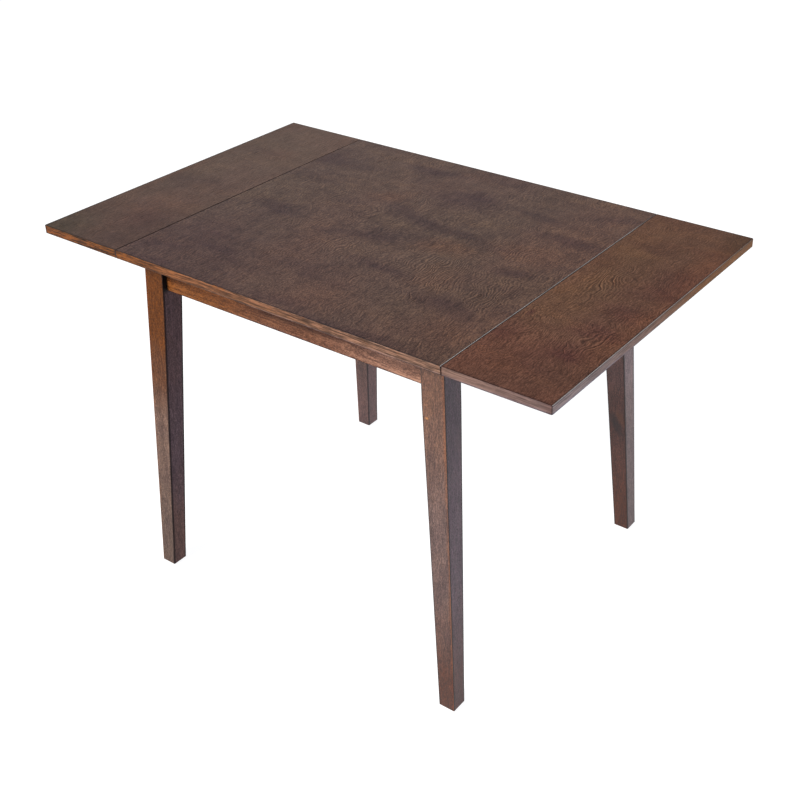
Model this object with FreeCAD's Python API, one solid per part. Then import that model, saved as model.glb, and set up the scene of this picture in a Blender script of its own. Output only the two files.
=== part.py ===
import FreeCAD, Part
import math
import os

# Drop-leaf ("butterfly") folding table.
# Frame: +X to the right along the table, +Y to the back, +Z up.
# Origin: on the floor under the middle of the top. Millimetres.

V = FreeCAD.Vector
os.makedirs("parts", exist_ok=True)

# ---------------------------------------------------------------- dimensions
HEIGHT = 750.0          # floor to top surface
TOP_T = 17.0            # board thickness of the centre and of both leaves
CENTRE_L = 754.0        # fixed centre board along X
TOP_W = 726.0           # depth of all three boards along Y
LEAF_L = 204.5          # each leaf along X
SEAM = 0.8              # open joint between the centre and a leaf
ARRIS = 0.9             # eased edges of the boards
LEAF_CORNER = 3.0       # clipped outer corners of the leaves

LEG_TOP = 48.0          # square block at the top of each leg
LEG_FOOT = 34.0         # square foot
BLOCK_H = 100.0         # straight block before the taper begins
LEG_X = 355.6           # outer side of the block's lower end, from the middle
LEG_Y = 323.6
SPLAY_X = 32.7 / 633.0  # outward lean of the outer sides per mm of height
SPLAY_Y = 27.8 / 633.0
LEG_EASE = 1.3
FOOT_CHAMFER = 1.6

APRON_H = 69.0
APRON_T = 20.0
APRON_X = 342.0         # outer face of the end aprons
APRON_Y = 310.7         # outer face of the long aprons
APRON_EASE = 1.0

RAIL_T = 20.0           # cross rail under the centre board
RAIL_H = 45.0

BLOCK_D0 = 20.0         # corner block: near and far plane from the aprons' inner corner
BLOCK_D1 = 44.0
BLOCK_Z0 = 672.0
BLOCK_Z1 = 731.0
BOLT_R = 4.0
BOLT_Z = (686.0, 714.0)

GLIDE_R = 11.0
GLIDE_H = 3.0

HINGE_DROP = 4.0        # pivot line below the underside of the boards
HINGE_Y = (-270.0, 0.0, 270.0)
HINGE_W = 60.0          # hinge length along the seam
HINGE_LEAF = 25.0       # width of one hinge plate
PLATE_T = 1.5
KNUCKLE_R = 3.4
PIN_R = 1.75
PIN_CLEAR = 0.05
KNUCKLES = 5
KNUCKLE_GAP = 0.4

STAY_Y = 190.0          # folding stays, one near each leg
STAY_S = (-35.0, -82.0) # fixed stud, from the pivot line (outward, up)
STAY_P_DROP = 10.0      # leaf pivot below the pivot line
STAY_T = 2.5
STAY_HALF = 7.0
STUD_R = 3.0
SLOT_HALF = 3.2
EAR_GAP = 0.5
EAR_T = 2.5

UNDER = HEIGHT - TOP_T
BLOCK_BOTTOM = UNDER - BLOCK_H
XO = CENTRE_L / 2 + SEAM / 2
ZO = UNDER - HINGE_DROP
STAY_R = math.hypot(*STAY_S)
STAY_P = (math.sqrt(STAY_R ** 2 - STAY_P_DROP ** 2), -STAY_P_DROP)

SHAPES = {}
CUTS = {}               # node name -> list of solids to take away


# ------------------------------------------------------------------- helpers
def box(x0, x1, y0, y1, z0, z1):
    x0, x1 = min(x0, x1), max(x0, x1)
    y0, y1 = min(y0, y1), max(y0, y1)
    z0, z1 = min(z0, z1), max(z0, z1)
    return Part.makeBox(x1 - x0, y1 - y0, z1 - z0, V(x0, y0, z0))


def cyl(p, d, r, length):
    return Part.makeCylinder(r, length, p, d)


def poly_solid(faces):
    shell = Part.Shell([Part.Face(Part.makePolygon([V(*p) for p in f] + [V(*f[0])])) for f in faces])
    s = Part.Solid(shell)
    if s.Volume < 0:
        s.reverse()
    return s


def prism_y(points, y0, y1):
    """Polygon in XZ, extruded along Y."""
    w = Part.makePolygon([V(x, y0, z) for x, z in points] + [V(points[0][0], y0, points[0][1])])
    return Part.Face(w).extrude(V(0, y1 - y0, 0))


def prism_z(points, z0, z1):
    w = Part.makePolygon([V(x, y, z0) for x, y in points] + [V(points[0][0], points[0][1], z0)])
    return Part.Face(w).extrude(V(0, 0, z1 - z0))


def edges_where(shape, test):
    out = []
    for e in shape.Edges:
        a, b = e.Vertexes[0].Point, e.Vertexes[-1].Point
        if test(a, b):
            out.append(e)
    return out


def ease(shape, r, test, chamfer=False):
    edges = edges_where(shape, test)
    return shape.makeChamfer(r, edges) if chamfer else shape.makeFillet(r, edges)


def frame_for(p, d):
    return FreeCAD.Placement(p, FreeCAD.Rotation(V(0, 0, 1), d))


def placed(shape, p, d):
    s = shape.copy()
    s.Placement = frame_for(p, d).multiply(s.Placement)
    return s


def cross_recess(depth, size):
    a = Part.makeBox(size * 2, 0.9, depth + 1, V(-size, -0.45, -1))
    b = Part.makeBox(0.9, size * 2, depth + 1, V(-0.45, -size, -1))
    return a.fuse(b)


def csk_screw(head_r, head_h, r, length):
    """Countersunk wood screw along +Z, head's flat at z = 0."""
    s = Part.makeCone(head_r, r, head_h).fuse(Part.makeCylinder(r, length - head_h - 3, V(0, 0, head_h)))
    s = s.fuse(Part.makeCone(r, 0.4, 3, V(0, 0, length - 3))).removeSplitter()
    return s.cut(cross_recess(1.0, head_r * 0.55))


def pan_screw(head_r, head_h, r, length):
    """Pan-head wood screw along +Z, its seat at z = 0 and the head below."""
    head = Part.makeCylinder(head_r, head_h, V(0, 0, -head_h))
    head = head.makeFillet(head_h * 0.45, edges_where(head, lambda a, b: abs(a.z + head_h) < 1e-6 and abs(b.z + head_h) < 1e-6))
    s = head.fuse(Part.makeCylinder(r, length - 3)).fuse(Part.makeCone(r, 0.4, 3, V(0, 0, length - 3))).removeSplitter()
    rec = cross_recess(1.0, head_r * 0.55)
    rec.translate(V(0, 0, -head_h))
    return s.cut(rec)


def csk_hole(head_r, head_h, r, length, c=0.05):
    s = Part.makeCylinder(head_r + c, 2, V(0, 0, -2)).fuse(Part.makeCone(head_r + c, r + c, head_h))
    return s.fuse(Part.makeCylinder(r + c, length - head_h + 0.3, V(0, 0, head_h))).removeSplitter()


def plain_hole(r, length, c=0.05, lead=1.0):
    return Part.makeCylinder(r + c, length + lead + 0.3, V(0, 0, -lead))


def add_cut(node, solid):
    CUTS.setdefault(node, []).append(solid)


def mirrored(shape, sx, sy):
    """Copies a right-front piece to the quadrant (sx, sy)."""
    s = shape
    if sx < 0:
        s = s.mirror(V(0, 0, 0), V(1, 0, 0))
    if sy > 0:
        s = s.mirror(V(0, 0, 0), V(0, 1, 0))
    return s


SIDES = {"right": 1, "left": -1}
ENDS = {"front": -1, "back": 1}


# -------------------------------------------------------------------- boards
def board(x0, x1, outer=None):
    """A flat board; outer is the side (+1 or -1) that has clipped corners."""
    w = TOP_W / 2
    b = box(x0, x1, -w, w, UNDER, HEIGHT)
    if outer:
        xo = max(x0, x1) if outer > 0 else min(x0, x1)
        b = ease(b, LEAF_CORNER, lambda p, q: abs(p.x - xo) < 1e-6 and abs(q.x - xo) < 1e-6 and abs(p.z - q.z) > 1)
    return b.makeFillet(ARRIS, edges_where(b, lambda p, q: abs(p.z - q.z) < 1e-6))


SHAPES["centre_top"] = board(-CENTRE_L / 2, CENTRE_L / 2)
SHAPES["leaf_right"] = board(CENTRE_L / 2 + SEAM, CENTRE_L / 2 + SEAM + LEAF_L, outer=1)
SHAPES["leaf_left"] = board(-CENTRE_L / 2 - SEAM, -CENTRE_L / 2 - SEAM - LEAF_L, outer=-1)


# ---------------------------------------------------------------------- legs
def outer_x(z):
    return LEG_X + SPLAY_X * (BLOCK_BOTTOM - z)


def outer_y(z):
    return LEG_Y + SPLAY_Y * (BLOCK_BOTTOM - z)


def leg_w(z):
    if z >= BLOCK_BOTTOM:
        return LEG_TOP
    return LEG_FOOT + (LEG_TOP - LEG_FOOT) * z / BLOCK_BOTTOM


def rounded_square(z, inset=0.0, ease_r=LEG_EASE):
    """Horizontal section of the right-front leg with eased corners."""
    xo, yo, w = outer_x(z) - inset, -outer_y(z) + inset, leg_w(z) - 2 * inset
    x0, x1, y0, y1, r = xo - w, xo, yo, yo + w, ease_r
    h = r * math.sqrt(0.5)
    return Part.Wire([
        Part.LineSegment(V(x0 + r, y0, z), V(x1 - r, y0, z)).toShape(),
        Part.Arc(V(x1 - r, y0, z), V(x1 - r + h, y0 + r - h, z), V(x1, y0 + r, z)).toShape(),
        Part.LineSegment(V(x1, y0 + r, z), V(x1, y1 - r, z)).toShape(),
        Part.Arc(V(x1, y1 - r, z), V(x1 - r + h, y1 - r + h, z), V(x1 - r, y1, z)).toShape(),
        Part.LineSegment(V(x1 - r, y1, z), V(x0 + r, y1, z)).toShape(),
        Part.Arc(V(x0 + r, y1, z), V(x0 + r - h, y1 - r + h, z), V(x0, y1 - r, z)).toShape(),
        Part.LineSegment(V(x0, y1 - r, z), V(x0, y0 + r, z)).toShape(),
        Part.Arc(V(x0, y0 + r, z), V(x0 + r - h, y0 + r - h, z), V(x0 + r, y0, z)).toShape(),
    ])


def right_front_leg():
    """Square leg: straight block, then tapered on its two inner sides; it leans out a little both ways."""
    levels = [(UNDER, 0.0), (BLOCK_BOTTOM, 0.0), (GLIDE_H + FOOT_CHAMFER, 0.0), (GLIDE_H, FOOT_CHAMFER)]
    rings = [rounded_square(z, inset) for z, inset in levels]
    parts = [Part.makeLoft([rings[k], rings[k + 1]], True, True) for k in range(len(rings) - 1)]
    return parts[0].fuse(parts[1:]).removeSplitter()


LEG = right_front_leg()

# inner corner of the aprons at the right-front leg, and the diagonal into the table
CORNER = V(APRON_X - APRON_T, -(APRON_Y - APRON_T), 0)
DIAG = V(-1, 1, 0).normalize()
ACROSS = V(1, 1, 0).normalize()


def on_diag(d, z, u=0.0):
    p = CORNER + DIAG * d + ACROSS * u
    return V(p.x, p.y, z)


# flat on the leg's inner corner where the corner block bears
flat = prism_z([(on_diag(BLOCK_D0, 0, -40).x, on_diag(BLOCK_D0, 0, -40).y),
                (on_diag(BLOCK_D0, 0, 40).x, on_diag(BLOCK_D0, 0, 40).y),
                (on_diag(BLOCK_D0 + 30, 0, 40).x, on_diag(BLOCK_D0 + 30, 0, 40).y),
                (on_diag(BLOCK_D0 + 30, 0, -40).x, on_diag(BLOCK_D0 + 30, 0, -40).y)], BLOCK_Z0, UNDER + 5)
bolt_holes = [cyl(on_diag(-20, z), DIAG, BOLT_R + 0.05, 60) for z in BOLT_Z]
foot_xy = (outer_x(GLIDE_H) - LEG_FOOT / 2, -(outer_y(GLIDE_H) - LEG_FOOT / 2))
LEG = LEG.cut([flat] + bolt_holes + [cyl(V(foot_xy[0], foot_xy[1], GLIDE_H - 1), V(0, 0, 1), 1.55, 17)])
if LEG.ShapeType == "Compound":
    LEG = LEG.Solids[0]

for s, sx in SIDES.items():
    for e, sy in ENDS.items():
        SHAPES["leg_%s_%s" % (e, s)] = mirrored(LEG, sx, sy)

GLIDE = cyl(V(foot_xy[0], foot_xy[1], 0), V(0, 0, 1), GLIDE_R, GLIDE_H)
GLIDE = GLIDE.makeFillet(0.9, edges_where(GLIDE, lambda p, q: abs(p.z) < 1e-6 and abs(q.z) < 1e-6))
GLIDE = GLIDE.fuse(cyl(V(foot_xy[0], foot_xy[1], GLIDE_H), V(0, 0, 1), 1.5, 15)).removeSplitter()
SHAPES["foot_glides"] = Part.Compound([mirrored(GLIDE, sx, sy) for sx in (1, -1) for sy in (-1, 1)])


# -------------------------------------------------------------------- aprons
APRON_Z0 = UNDER - APRON_H


def long_apron():
    """Front apron; its ends follow the legs' lean."""
    z0, z1 = APRON_Z0, UNDER
    e0, e1 = outer_x(z0) - LEG_TOP, outer_x(z1) - LEG_TOP
    a = prism_y([(-e0, z0), (e0, z0), (e1, z1), (-e1, z1)], -APRON_Y, -(APRON_Y - APRON_T))
    return a.makeFillet(APRON_EASE, edges_where(a, lambda p, q: abs(p.z - z0) < 1e-6 and abs(q.z - z0) < 1e-6 and abs(p.x - q.x) > 50))


def end_apron():
    z0, z1 = APRON_Z0, UNDER
    e0, e1 = outer_y(z0) - LEG_TOP, outer_y(z1) - LEG_TOP
    w = Part.makePolygon([V(APRON_X, -e0, z0), V(APRON_X, e0, z0), V(APRON_X, e1, z1), V(APRON_X, -e1, z1), V(APRON_X, -e0, z0)])
    a = Part.Face(w).extrude(V(-APRON_T, 0, 0))
    return a.makeFillet(APRON_EASE, edges_where(a, lambda p, q: abs(p.z - z0) < 1e-6 and abs(q.z - z0) < 1e-6 and abs(p.y - q.y) > 50))


SHAPES["apron_front"] = long_apron()
SHAPES["apron_back"] = mirrored(SHAPES["apron_front"], 1, 1)
SHAPES["apron_right"] = end_apron()
SHAPES["apron_left"] = mirrored(SHAPES["apron_right"], -1, -1)

YI = APRON_Y - APRON_T
XI = APRON_X - APRON_T
SHAPES["cross_rail"] = box(-RAIL_T / 2, RAIL_T / 2, -YI, YI, UNDER - RAIL_H, UNDER)
SHAPES["cross_rail"] = SHAPES["cross_rail"].makeFillet(1.0, edges_where(
    SHAPES["cross_rail"], lambda p, q: abs(p.z - (UNDER - RAIL_H)) < 1e-6 and abs(q.z - (UNDER - RAIL_H)) < 1e-6 and abs(p.y - q.y) > 50))


# ------------------------------------------------- corner blocks and leg bolts
def corner_xy(d, u):
    p = on_diag(d, 0, u)
    return (p.x, p.y)


BLOCK = prism_z([corner_xy(BLOCK_D0, -BLOCK_D0), corner_xy(BLOCK_D0, BLOCK_D0),
                 corner_xy(BLOCK_D1, BLOCK_D1), corner_xy(BLOCK_D1, -BLOCK_D1)], BLOCK_Z0, BLOCK_Z1)
block_tools = [cyl(on_diag(BLOCK_D0 - 5, z), DIAG, BOLT_R + 0.5, 40) for z in BOLT_Z]
SCREW_OFF = 45.0        # block screws, from the aprons' inner corner
SCREW_SEAT = 9.0
block_screws = []
apron_block_holes = {"end": [], "long": []}
for z in (690.0, 712.0):
    # into the end apron, driven along +X; into the long apron, driven along -Y
    for key, p, d in (("end", V(XI - SCREW_SEAT, CORNER.y + SCREW_OFF, z), V(1, 0, 0)),
                      ("long", V(XI - SCREW_OFF, CORNER.y + SCREW_SEAT, z), V(0, -1, 0))):
        block_screws.append(placed(pan_screw(3.8, 2.2, 2.0, SCREW_SEAT + 14), p, d))
        block_tools.append(placed(plain_hole(2.0, SCREW_SEAT + 2, 0.3, 0), p, d))
        block_tools.append(placed(Part.makeCylinder(4.6, 14, V(0, 0, -14)), p, d))
        apron_block_holes[key].append(placed(plain_hole(2.0, SCREW_SEAT + 14, 0.05, 0), p, d))
BLOCK = BLOCK.cut(block_tools)

bolts, washers, nuts = [], [], []
for z in BOLT_Z:
    b = cyl(on_diag(-18, z), DIAG, BOLT_R, 76)
    tip = edges_where(b, lambda p, q: (p - on_diag(58, z)).Length < BOLT_R + 0.1)
    b = b.makeChamfer(0.8, tip)
    bolts.append(b)
    washers.append(cyl(on_diag(BLOCK_D1, z), DIAG, 8.5, 1.6).cut(cyl(on_diag(BLOCK_D1 - 1, z), DIAG, BOLT_R + 0.2, 4)))
    hexa = [V(7.5 * math.cos(math.radians(60 * k)), 7.5 * math.sin(math.radians(60 * k)), 0) for k in range(6)]
    n = Part.Face(Part.makePolygon(hexa + [hexa[0]])).extrude(V(0, 0, 6.5))
    n = n.cut(Part.makeCylinder(BOLT_R + 0.05, 9, V(0, 0, -1)))
    nuts.append(placed(n, on_diag(BLOCK_D1 + 1.6, z), DIAG))

for s, sx in SIDES.items():
    for e, sy in ENDS.items():
        SHAPES["corner_block_%s_%s" % (e, s)] = mirrored(BLOCK, sx, sy)
        for h in apron_block_holes["end"]:
            add_cut("apron_" + s, mirrored(h, sx, sy))
        for h in apron_block_holes["long"]:
            add_cut("apron_" + e, mirrored(h, sx, sy))


def quads(solids):
    return Part.Compound([mirrored(k, sx, sy) for sx in (1, -1) for sy in (-1, 1) for k in solids])


SHAPES["leg_hanger_bolts"] = quads(bolts)
SHAPES["leg_bolt_washers"] = quads(washers)
SHAPES["leg_bolt_nuts"] = quads(nuts)
SHAPES["corner_block_screws"] = quads(block_screws)


# --------------------------------------------------------- fixing brackets
BR_L, BR_T, BR_W = 20.0, 2.0, 18.0
brackets, bracket_screws = [], []


def span(p, a, a0, a1, b, b0, b1, w, w0, w1):
    q0 = p + a * a0 + b * b0 + w * w0
    q1 = p + a * a1 + b * b1 + w * w1
    return box(q0.x, q1.x, q0.y, q1.y, q0.z, q1.z)


def fixing_bracket(p, a, b, node_b, node_a):
    """Steel angle in the corner line at p: one wing along a on the face with normal b (node_b),
    the other along b on the face with normal a (node_a)."""
    w = a.cross(b)
    body = span(p, a, 0, BR_L, b, 0, BR_T, w, -BR_W / 2, BR_W / 2).fuse(
        span(p, a, 0, BR_T, b, 0, BR_L, w, -BR_W / 2, BR_W / 2)).removeSplitter()
    seats = [(p + a * 12 + b * BR_T, b * -1, node_b), (p + b * 12 + a * BR_T, a * -1, node_a)]
    tools = []
    for q, d, node in seats:
        tools.append(placed(Part.makeCylinder(2.1, BR_T + 2, V(0, 0, -1)), q, d))
        bracket_screws.append(placed(pan_screw(3.4, 1.9, 1.75, BR_T + 12), q, d))
        add_cut(node, placed(plain_hole(1.75, BR_T + 12), q, d))
    brackets.append(body.cut(tools))


X, Y, Z = V(1, 0, 0), V(0, 1, 0), V(0, 0, 1)
DOWN = Z * -1
for x in (-180.0, 180.0):
    fixing_bracket(V(x, -YI, UNDER), Y, DOWN, "centre_top", "apron_front")
    fixing_bracket(V(x, YI, UNDER), Y * -1, DOWN, "centre_top", "apron_back")
fixing_bracket(V(XI, 0, UNDER), X * -1, DOWN, "centre_top", "apron_right")
fixing_bracket(V(-XI, 0, UNDER), X, DOWN, "centre_top", "apron_left")
for y in (-140.0, 140.0):
    fixing_bracket(V(RAIL_T / 2, y, UNDER), X, DOWN, "centre_top", "cross_rail")
for sy, name in ((-1, "apron_front"), (1, "apron_back")):
    fixing_bracket(V(-RAIL_T / 2, sy * YI, UNDER - 26), Y * -sy, X * -1, "cross_rail", name)
    fixing_bracket(V(RAIL_T / 2, sy * YI, UNDER - 26), Y * -sy, X, "cross_rail", name)
SHAPES["fixing_brackets"] = Part.Compound(brackets)
SHAPES["fixing_bracket_screws"] = Part.Compound(bracket_screws)


# -------------------------------------------------------------- seam hinges
# All seam hardware is made for the right seam and mirrored to the left.
def hinge_plates(yc):
    """Fixed and moving plate of one butt hinge on the underside, pivot line at (XO, ZO)."""
    y0 = yc - HINGE_W / 2
    pitch = HINGE_W / KNUCKLES
    out = {}
    for which, sgn, parity in (("frame", -1, 0), ("leaf", 1, 1)):
        keep = KNUCKLE_R + 0.5
        plate = box(XO + sgn * keep, XO + sgn * HINGE_LEAF, y0, y0 + HINGE_W, UNDER - PLATE_T, UNDER)
        plate = ease(plate, 4.0, lambda p, q: abs(p.x - (XO + sgn * HINGE_LEAF)) < 1e-6 and abs(q.x - (XO + sgn * HINGE_LEAF)) < 1e-6
                     and abs(p.z - q.z) > 1)
        for k in range(KNUCKLES):
            if k % 2 != parity:
                continue
            a = y0 + k * pitch + (KNUCKLE_GAP / 2 if k else 0)
            b = y0 + (k + 1) * pitch - (KNUCKLE_GAP / 2 if k < KNUCKLES - 1 else 0)
            plate = plate.fuse(box(XO, XO + sgn * (keep + 1), a, b, UNDER - PLATE_T, UNDER))
            plate = plate.fuse(cyl(V(XO, a, ZO), Y, KNUCKLE_R, b - a))
        hole_r = PIN_R + PIN_CLEAR
        plate = plate.cut(cyl(V(XO, y0 - 1, ZO), Y, hole_r, HINGE_W + 2))
        out[which] = plate.removeSplitter()
    return out


def hinge_pin(yc):
    y0 = yc - HINGE_W / 2
    head = cyl(V(XO, y0 - 1.2, ZO), Y, 2.7, 1.2)
    return head.fuse(cyl(V(XO, y0, ZO), Y, PIN_R, HINGE_W + 0.6)).removeSplitter()


HINGE_SCREWS = [(15.5, -21.0), (18.0, 0.0), (15.5, 21.0)]
hinge_names = ("front", "middle", "back")
frame_hinge_screws, leaf_hinge_screws, hinge_pins = [], [], []
for name, yc in zip(hinge_names, HINGE_Y):
    plates = hinge_plates(yc)
    hinge_pins.append(hinge_pin(yc))
    for which, sgn in (("frame", -1), ("leaf", 1)):
        tools = []
        for dx, dy in HINGE_SCREWS:
            p = V(XO + sgn * dx, yc + dy, UNDER - PLATE_T)
            tools.append(placed(csk_hole(3.5, PLATE_T, 1.8, PLATE_T + 2), p, Z))
            sc = placed(csk_screw(3.5, PLATE_T, 1.8, PLATE_T + 12), p, Z)
            hole = placed(plain_hole(1.8, PLATE_T + 12, 0.05, 0), p, Z)
            if which == "frame":
                frame_hinge_screws.append(sc)
                add_cut("centre_top", hole)
                add_cut("centre_top", hole.mirror(V(0, 0, 0), X))
            else:
                leaf_hinge_screws.append(sc)
                add_cut("leaf_right", hole)
                add_cut("leaf_left", hole.mirror(V(0, 0, 0), X))
        plate = plates[which].cut(tools)
        SHAPES["hinge_%s_plate_right_%s" % (which, name)] = plate
        SHAPES["hinge_%s_plate_left_%s" % (which, name)] = plate.mirror(V(0, 0, 0), X)


def both_seams(solids):
    return Part.Compound(solids + [k.mirror(V(0, 0, 0), X) for k in solids])


SHAPES["hinge_screws_frame"] = both_seams(frame_hinge_screws)
SHAPES["hinge_pins"] = both_seams(hinge_pins)
SHAPES["hinge_screws_leaf_right"] = Part.Compound(leaf_hinge_screws)
SHAPES["hinge_screws_leaf_left"] = Part.Compound([k.mirror(V(0, 0, 0), X) for k in leaf_hinge_screws])


# ------------------------------------------------------------ folding stays
# Made for the right-front stay. A slotted arm hangs from a pin under the leaf and slides on a
# stud below the end apron. Pin and stud are equally far from the leaf's pivot line, so the arm
# turns exactly half as far as the leaf.
SX, SZ = XO + STAY_S[0], ZO + STAY_S[1]
PX, PZ = XO + STAY_P[0], ZO + STAY_P[1]
YA = -STAY_Y                                   # middle plane of the arm
EAR_Y1 = YA - STAY_T / 2 - EAR_GAP             # ears sit on the leg's side of the arm
EAR_Y0 = EAR_Y1 - EAR_T


def disc(x, z, r, y0, y1):
    return cyl(V(x, min(y0, y1), z), Y, r, abs(y1 - y0))


# fixed bracket on the end apron's outer face
ear = prism_y([(APRON_X, UNDER - 9), (APRON_X + 8, UNDER - 9), (APRON_X + 14, UNDER - 24), (APRON_X + 14, SZ + 26),
               (SX + 9.5, SZ), (SX - 9.5, SZ), (SX - 7.5, SZ + 12), (APRON_X, APRON_Z0 - 1.0)], EAR_Y0, EAR_Y1)
ear = ear.fuse(disc(SX, SZ, 9.5, EAR_Y0, EAR_Y1))
flange = box(APRON_X, APRON_X + 2.5, EAR_Y0 - 26, EAR_Y1, APRON_Z0 + 3, UNDER - 9)
flange = ease(flange, 4.0, lambda p, q: abs(p.y - (EAR_Y0 - 26)) < 1e-6 and abs(q.y - (EAR_Y0 - 26)) < 1e-6 and abs(p.x - q.x) > 1)
fixed_bracket = ear.fuse(flange).removeSplitter()
tools = [disc(SX, SZ, STUD_R + 0.05, EAR_Y0 - 1, EAR_Y1 + 1)]
stay_frame_screws, stay_frame_holes = [], []
for y, z in ((EAR_Y0 - 9, UNDER - 18), (EAR_Y0 - 18, UNDER - 36), (EAR_Y0 - 9, UNDER - 54)):
    p = V(APRON_X + 2.5, y, z)
    d = X * -1
    tools.append(placed(Part.makeCylinder(2.4, 6, V(0, 0, -1)), p, d))
    stay_frame_screws.append(placed(pan_screw(3.8, 2.0, 2.0, 2.5 + 15), p, d))
    stay_frame_holes.append(placed(plain_hole(2.0, 2.5 + 15), p, d))
fixed_bracket = fixed_bracket.cut(tools)

# stud: rivet head behind the ear, shank through the slot, wide head in front of the arm
stud = disc(SX, SZ, 5.0, EAR_Y0 - 1.6, EAR_Y0).fuse(
    disc(SX, SZ, STUD_R, EAR_Y0, YA + STAY_T / 2 + EAR_GAP)).fuse(
    disc(SX, SZ, 6.5, YA + STAY_T / 2 + EAR_GAP, YA + STAY_T / 2 + EAR_GAP + 2.2)).removeSplitter()
stud = stud.makeFillet(0.7, edges_where(stud, lambda p, q: abs(p.y - (YA + STAY_T / 2 + EAR_GAP + 2.2)) < 1e-6
                                        and abs(q.y - (YA + STAY_T / 2 + EAR_GAP + 2.2)) < 1e-6))

# bracket under the leaf
lear = prism_y([(PX - 20, UNDER), (PX + 20, UNDER), (PX + 7.5, PZ - 2.8), (PX - 7.5, PZ - 2.8)], EAR_Y0, EAR_Y1)
lear = lear.fuse(disc(PX, PZ, 8.0, EAR_Y0, EAR_Y1))
lflange = box(PX - 24, PX + 24, EAR_Y0 - 20, EAR_Y1, UNDER - 2.5, UNDER)
lflange = ease(lflange, 4.0, lambda p, q: abs(p.y - (EAR_Y0 - 20)) < 1e-6 and abs(q.y - (EAR_Y0 - 20)) < 1e-6 and abs(p.z - q.z) > 1)
leaf_bracket = lear.fuse(lflange).removeSplitter()
tools = [disc(PX, PZ, STUD_R + 0.05, EAR_Y0 - 1, EAR_Y1 + 1)]
stay_leaf_screws, stay_leaf_holes = [], []
for dx in (-14.0, 14.0):
    p = V(PX + dx, EAR_Y0 - 11, UNDER - 2.5)
    tools.append(placed(Part.makeCylinder(2.4, 6, V(0, 0, -1)), p, Z))
    stay_leaf_screws.append(placed(pan_screw(3.8, 2.0, 2.0, 2.5 + 12), p, Z))
    stay_leaf_holes.append(placed(plain_hole(2.0, 2.5 + 12), p, Z))
leaf_bracket = leaf_bracket.cut(tools)

pivot = disc(PX, PZ, 5.0, EAR_Y0 - 1.6, EAR_Y0).fuse(
    disc(PX, PZ, STUD_R, EAR_Y0, YA + STAY_T / 2 + 0.3)).fuse(
    disc(PX, PZ, 5.5, YA + STAY_T / 2 + 0.3, YA + STAY_T / 2 + 1.9)).removeSplitter()

# arm, drawn along its own axis from the leaf pivot, then turned onto the line pin - stud
open_len = math.hypot(SX - PX, SZ - PZ)
folded_angle = math.acos((STAY_S[0] * STAY_P[0] + STAY_S[1] * STAY_P[1]) / STAY_R ** 2) - math.pi / 2
shut_len = 2 * STAY_R * math.sin(folded_angle / 2)
slot0, slot1 = shut_len - 1.0, open_len + 0.3
arm_end = slot1 + SLOT_HALF + 5.5


def capsule(s0, s1, half, y0, y1, off=0.0):
    return box(s0, s1, y0, y1, off - half, off + half).fuse(
        disc(s0, off, half, y0, y1)).fuse(disc(s1, off, half, y0, y1)).removeSplitter()


arm = capsule(0, arm_end - STAY_HALF, STAY_HALF, YA - STAY_T / 2, YA + STAY_T / 2)
arm = arm.cut([capsule(slot0, slot1, SLOT_HALF, YA - 5, YA + 5),
               disc(slot1, 1.3, SLOT_HALF, YA - 5, YA + 5),
               disc(0, 0, STUD_R + 0.05, YA - 5, YA + 5)])
# local +X runs to the stud; turning about Y by this angle maps it there
turn = math.degrees(math.atan2(-(SZ - PZ), SX - PX))
arm.rotate(V(0, 0, 0), Y, turn)
arm.translate(V(PX, 0, PZ))

for s, sx in SIDES.items():
    for e, sy in ENDS.items():
        SHAPES["stay_bracket_%s_%s" % (s, e)] = mirrored(fixed_bracket, sx, sy)
        SHAPES["stay_leaf_bracket_%s_%s" % (s, e)] = mirrored(leaf_bracket, sx, sy)
        SHAPES["stay_arm_%s_%s" % (s, e)] = mirrored(arm, sx, sy)
        for h in stay_frame_holes:
            add_cut("apron_" + s, mirrored(h, sx, sy))
        for h in stay_leaf_holes:
            add_cut("leaf_" + s, mirrored(h, sx, sy))
    SHAPES["stay_pivot_pins_" + s] = Part.Compound([mirrored(pivot, sx, sy) for sy in (-1, 1)])
    SHAPES["stay_leaf_screws_" + s] = Part.Compound([mirrored(k, sx, sy) for sy in (-1, 1) for k in stay_leaf_screws])
SHAPES["stay_slide_studs"] = quads([stud])
SHAPES["stay_bracket_screws"] = quads(stay_frame_screws)


# -------------------------------------------------------------------- export
for node, tools in CUTS.items():
    SHAPES[node] = SHAPES[node].cut(tools)

for node in sorted(SHAPES):
    shape = SHAPES[node]
    solids = shape.Solids
    bad = [k for k in solids if not k.isValid() or k.Volume <= 0]
    if len(solids) == 1:
        shape = solids[0]
    else:
        shape = Part.Compound(solids)
    shape.exportStep("parts/%s.step" % node)
    bb = shape.BoundBox
    print("%-34s %3d solids %12.1f mm3  x %.1f..%.1f y %.1f..%.1f z %.1f..%.1f%s" % (
        node, len(solids), shape.Volume, bb.XMin, bb.XMax, bb.YMin, bb.YMax, bb.ZMin, bb.ZMax, "  BAD" if bad else ""))
print("nodes", len(SHAPES))
print("pivot line x %.3f z %.3f; leaf pin x %.4f z %.4f; stud x %.4f z %.4f; arm open %.3f shut %.3f" % (XO, ZO, PX, PZ, SX, SZ, open_len, shut_len))
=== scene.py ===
import math

import bpy
from mathutils import Matrix, Vector

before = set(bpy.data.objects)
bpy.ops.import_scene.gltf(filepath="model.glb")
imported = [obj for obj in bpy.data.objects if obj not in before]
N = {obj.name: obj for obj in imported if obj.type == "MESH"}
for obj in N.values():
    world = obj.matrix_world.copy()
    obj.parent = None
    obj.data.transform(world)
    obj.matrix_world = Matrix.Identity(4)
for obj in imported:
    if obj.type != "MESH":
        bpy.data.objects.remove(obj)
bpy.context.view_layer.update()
scene = bpy.context.scene


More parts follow.
